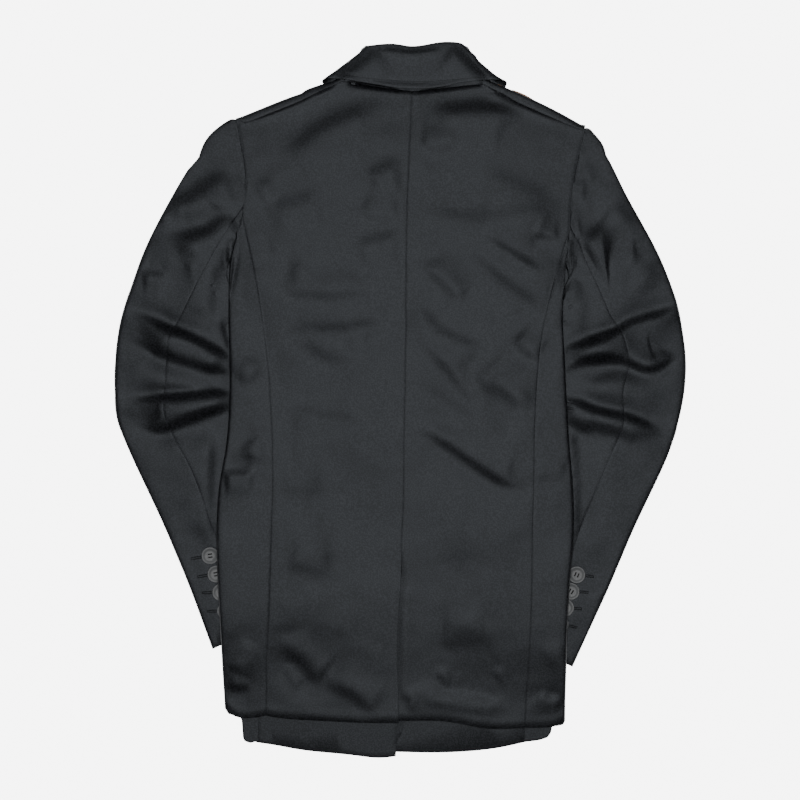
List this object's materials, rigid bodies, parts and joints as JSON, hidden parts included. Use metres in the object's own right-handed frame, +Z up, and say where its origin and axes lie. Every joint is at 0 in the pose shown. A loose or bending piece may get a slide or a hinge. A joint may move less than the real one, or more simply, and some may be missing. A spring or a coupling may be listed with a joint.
{
  "type": "suit jacket",
  "caption": "Single-breasted women's suit jacket in dark satin-faced cloth, laid flat on its front: notched collar, tailored sleeves, princess seams and a centre back vent.",
  "frame": {"origin": "bottom centre of the bounding box, on the surface that the jacket lies on", "axes": "+Y towards the collar, +X towards the wearer's right, +Z up, out of the jacket's back"},
  "size_m": [0.6493, 0.8132, 0.0124],
  "materials": {
    "charcoal_satin": "satin-faced stretch cloth, soft sheen",
    "peach_lining": "smooth lining",
    "button_horn": "dark grey, low gloss"
  },
  "bodies": {
    "root": {"back_left": "charcoal_satin", "back_right": "charcoal_satin", "side_left": "charcoal_satin", "side_right": "charcoal_satin", "front_left": "charcoal_satin", "front_right": "charcoal_satin", "lapel_left": "charcoal_satin", "lapel_right": "charcoal_satin", "collar_fall": "charcoal_satin", "collar_stand": "charcoal_satin", "sleeve_top_left": "charcoal_satin", "sleeve_top_right": "charcoal_satin", "sleeve_under_left": "charcoal_satin", "sleeve_under_right": "charcoal_satin", "lining_shoulder": "peach_lining", "button_left_1": "button_horn", "button_left_2": "button_horn", "button_left_3": "button_horn", "button_left_4": "button_horn", "button_right_1": "button_horn", "button_right_2": "button_horn", "button_right_3": "button_horn", "button_right_4": "button_horn", "button_front": "button_horn"}
  },
  "joints": []
}
